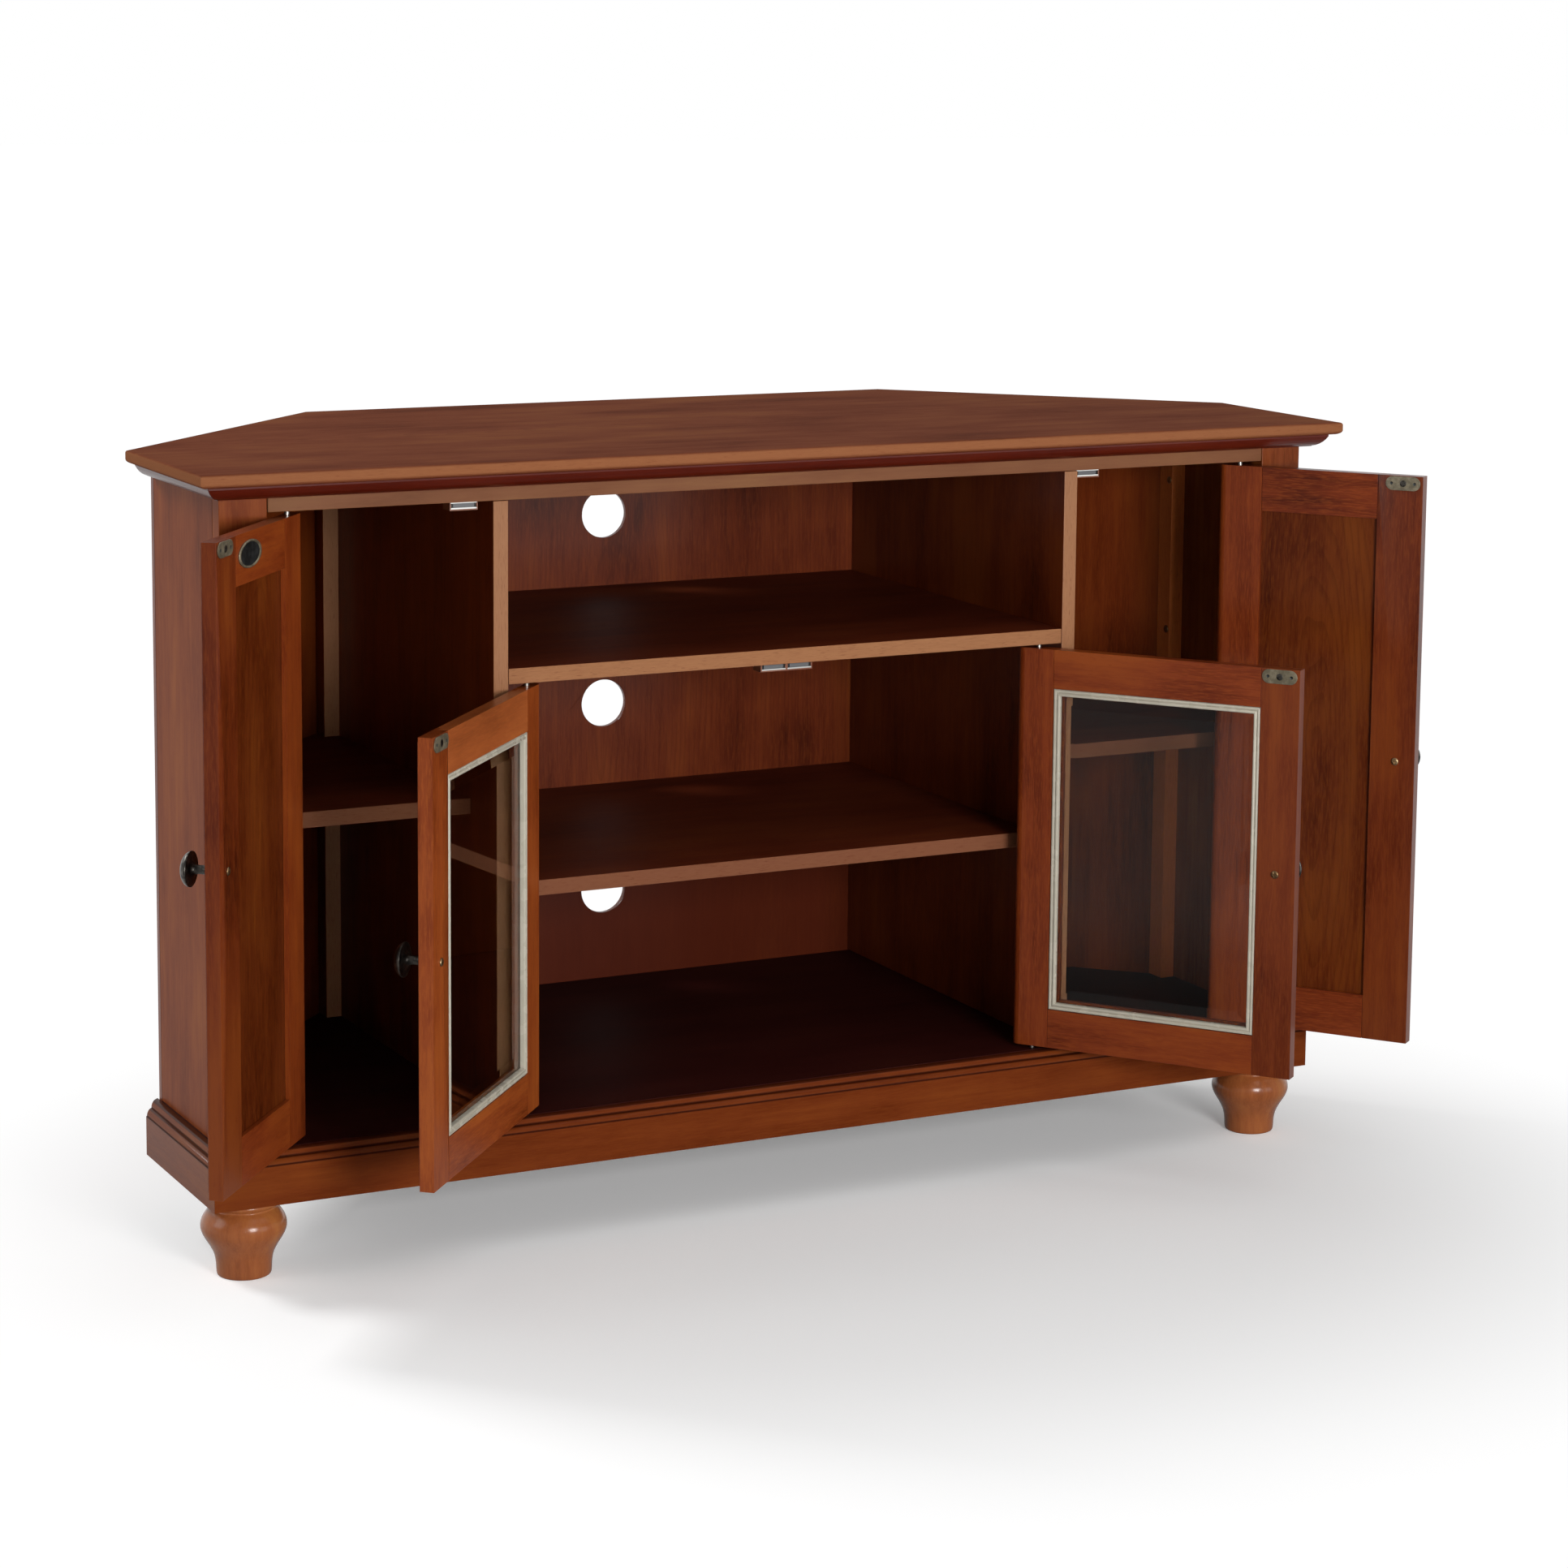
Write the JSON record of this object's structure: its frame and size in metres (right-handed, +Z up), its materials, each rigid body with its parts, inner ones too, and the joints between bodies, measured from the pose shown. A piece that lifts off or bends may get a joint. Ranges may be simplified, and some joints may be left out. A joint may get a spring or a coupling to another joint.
{
  "type": "corner tv cabinet",
  "caption": "Corner television cabinet with a moulded six-sided top, panelled outer doors, bevelled glass centre doors, an open shelf bay, a beaded plinth and turned feet.",
  "frame": {"origin": "bottom centre of the whole part's bounding box, with the doors open as stored", "axes": "+Z up, +Y towards the cabinet's back, +X to the right of someone facing its front"},
  "size_m": [1.3116, 0.6802, 0.755],
  "materials": {
    "top_wood": "semi-gloss lacquer",
    "case_wood": "satin lacquer",
    "shelf_wood": "satin lacquer",
    "inner_wood": "satin stain",
    "door_wood": "satin lacquer",
    "foot_wood": "gloss lacquer",
    "knob_metal": "antique pewter",
    "strike_metal": "antique nickel",
    "catch_plastic": "brown moulded",
    "bead_plastic": "clear extruded",
    "glass": "clear bevelled"
  },
  "bodies": {
    "carcass": {"top_panel": "top_wood", "crown_front": "top_wood", "crown_left": "top_wood", "crown_right": "top_wood", "inner_top": "inner_wood", "top_rail": "shelf_wood", "stile_left": "case_wood", "stile_right": "case_wood", "side_panel_left": "case_wood", "side_panel_right": "case_wood", "divider_left": "shelf_wood", "divider_right": "shelf_wood", "centre_shelf": "shelf_wood", "lower_shelf": "shelf_wood", "side_shelf_left": "shelf_wood", "side_shelf_right": "shelf_wood", "floor_panel": "inner_wood", "back_panel": "inner_wood", "diagonal_back_left": "inner_wood", "diagonal_back_right": "inner_wood", "plinth_front": "case_wood", "plinth_left": "case_wood", "plinth_right": "case_wood", "foot_front_left": "foot_wood", "foot_front_right": "foot_wood", "foot_rear_left": "foot_wood", "foot_rear_right": "foot_wood", "catch_left": "catch_plastic", "catch_centre": "catch_plastic", "catch_right": "catch_plastic"},
    "outer_left_door": {"outer_left_hinge_stile": "door_wood", "outer_left_free_stile": "door_wood", "outer_left_bottom_rail": "door_wood", "outer_left_top_rail": "door_wood", "outer_left_panel": "door_wood", "outer_left_knob": "knob_metal", "outer_left_strike_plate": "strike_metal"},
    "glass_left_door": {"glass_left_hinge_stile": "door_wood", "glass_left_free_stile": "door_wood", "glass_left_bottom_rail": "door_wood", "glass_left_top_rail": "door_wood", "glass_left_pane": "glass", "glass_left_glazing_bead": "bead_plastic", "glass_left_knob": "knob_metal", "glass_left_strike_plate": "strike_metal"},
    "glass_right_door": {"glass_right_hinge_stile": "door_wood", "glass_right_free_stile": "door_wood", "glass_right_bottom_rail": "door_wood", "glass_right_top_rail": "door_wood", "glass_right_pane": "glass", "glass_right_glazing_bead": "bead_plastic", "glass_right_knob": "knob_metal", "glass_right_strike_plate": "strike_metal"},
    "outer_right_door": {"outer_right_hinge_stile": "door_wood", "outer_right_free_stile": "door_wood", "outer_right_bottom_rail": "door_wood", "outer_right_top_rail": "door_wood", "outer_right_panel": "door_wood", "outer_right_knob": "knob_metal", "outer_right_strike_plate": "strike_metal"}
  },
  "joints": [
    {"name": "outer_left_pivot", "type": "hinge", "parent": "carcass", "child": "outer_left_door", "pos_m": [-0.51068, -0.11442, 0.124], "axis": [0, 0, -1], "range_deg": [-129.6, 5.4]},
    {"name": "glass_left_pivot", "type": "hinge", "parent": "carcass", "child": "glass_left_door", "pos_m": [-0.27548, -0.11442, 0.124], "axis": [0, 0, -1], "range_deg": [-131.7, 3.3]},
    {"name": "glass_right_pivot", "type": "hinge", "parent": "carcass", "child": "glass_right_door", "pos_m": [0.28232, -0.11442, 0.124], "axis": [0, 0, 1], "range_deg": [-127.2, 7.8]},
    {"name": "outer_right_pivot", "type": "hinge", "parent": "carcass", "child": "outer_right_door", "pos_m": [0.51752, -0.11442, 0.124], "axis": [0, 0, 1], "range_deg": [-126.6, 8.4]}
  ],
  "couplings": [
    {"joint": "outer_left_pivot", "follows": "glass_left_pivot", "ratio": 0.984},
    {"joint": "outer_right_pivot", "follows": "glass_right_pivot", "ratio": 0.9952}
  ]
}
